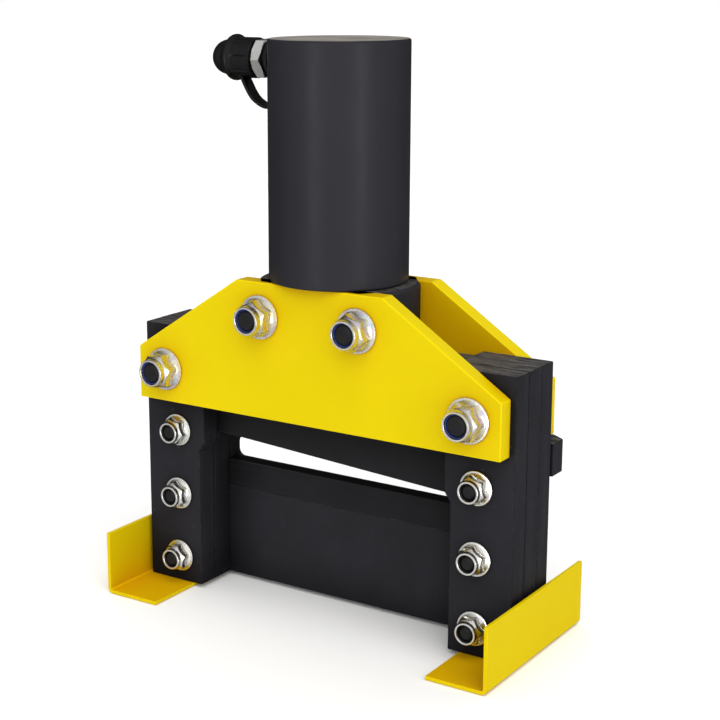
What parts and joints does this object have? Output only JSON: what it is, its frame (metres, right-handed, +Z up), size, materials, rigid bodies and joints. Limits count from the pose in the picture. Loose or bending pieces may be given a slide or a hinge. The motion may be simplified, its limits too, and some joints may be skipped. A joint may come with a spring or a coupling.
{
  "type": "hydraulic flat bar cutter",
  "caption": "Laminated steel shear frame on angle feet with a vertical hydraulic ram that drives an angled blade down past a slotted fixed plate.",
  "frame": {"origin": "on the floor under the middle of the feet, on the cylinder's axis", "axes": "+Z up along the cylinder, +X to the operator's right along the blade, the operator stands on the -Y side and the bar runs along Y"},
  "size_m": [0.3094, 0.1384, 0.3998],
  "materials": {
    "black_steel": "satin black oxide on machined steel plate",
    "tool_steel": "blackened tool steel, satin",
    "yellow_paint": "bright yellow powder coat",
    "dark_bolt": "black oxide",
    "zinc": "bright zinc plate",
    "cylinder_black": "matt black",
    "bronze": "bearing bronze",
    "seal": "polyurethane seal",
    "chromed_rod": "ground hard chrome",
    "spring_steel": "oiled spring wire",
    "nickel": "nickel plate",
    "rubber": "moulded black rubber"
  },
  "bodies": {
    "frame": {"front_post_left": "black_steel", "front_post_right": "black_steel", "spacer_left": "black_steel", "spacer_right": "black_steel", "back_plate": "black_steel", "back_bar": "black_steel", "cylinder_seat": "black_steel", "lower_blade": "tool_steel", "side_plate_front": "yellow_paint", "side_plate_back": "yellow_paint", "foot_left": "yellow_paint", "foot_right": "yellow_paint", "large_bolt_1": "dark_bolt", "large_bolt_2": "dark_bolt", "large_bolt_3": "dark_bolt", "large_bolt_4": "dark_bolt", "post_bolt_left_1": "dark_bolt", "post_bolt_left_2": "dark_bolt", "post_bolt_left_3": "dark_bolt", "post_bolt_right_1": "dark_bolt", "post_bolt_right_2": "dark_bolt", "post_bolt_right_3": "dark_bolt", "foot_screw_left_front": "dark_bolt", "foot_screw_left_back": "dark_bolt", "foot_screw_right_front": "dark_bolt", "foot_screw_right_back": "dark_bolt", "lower_blade_screw_left": "dark_bolt", "lower_blade_screw_right": "dark_bolt", "back_bar_screw_1": "dark_bolt", "back_bar_screw_2": "dark_bolt", "back_bar_screw_3": "dark_bolt", "back_bar_screw_4": "dark_bolt", "port_adapter": "dark_bolt", "large_nut_1": "zinc", "large_nut_2": "zinc", "large_nut_3": "zinc", "large_nut_4": "zinc", "post_nut_left_1": "zinc", "post_nut_left_2": "zinc", "post_nut_left_3": "zinc", "post_nut_right_1": "zinc", "post_nut_right_2": "zinc", "post_nut_right_3": "zinc", "cylinder_body": "cylinder_black", "rod_bush": "bronze", "rod_wiper": "seal", "rod_seal": "seal", "return_spring": "spring_steel", "poppet_spring": "spring_steel", "coupler_body": "nickel", "dust_cap_strap": "rubber"},
    "ram": {"piston_ram": "chromed_rod", "piston_seal": "seal", "crosshead": "black_steel", "ram_screw": "dark_bolt", "upper_blade": "tool_steel", "blade_screw_left": "dark_bolt", "blade_screw_right": "dark_bolt"},
    "dust_cap": {"dust_cap": "rubber"},
    "poppet": {"coupler_poppet": "nickel"}
  },
  "joints": [
    {"name": "ram_stroke", "type": "slide", "parent": "frame", "child": "ram", "axis": [0, 0, -1], "range_m": [0, 0.027], "stiffness_N_per_m": 2500, "springref_m": -0.03, "deforming": ["return_spring"]},
    {"name": "dust_cap_pull", "type": "slide", "parent": "frame", "child": "dust_cap", "axis": [-1, 0, 0], "range_m": [0, 0.026], "deforming": ["dust_cap_strap"]},
    {"name": "poppet_push", "type": "slide", "parent": "frame", "child": "poppet", "axis": [1, 0, 0], "range_m": [0, 0.003], "stiffness_N_per_m": 900, "springref_m": -0.002, "deforming": ["poppet_spring"]}
  ]
}
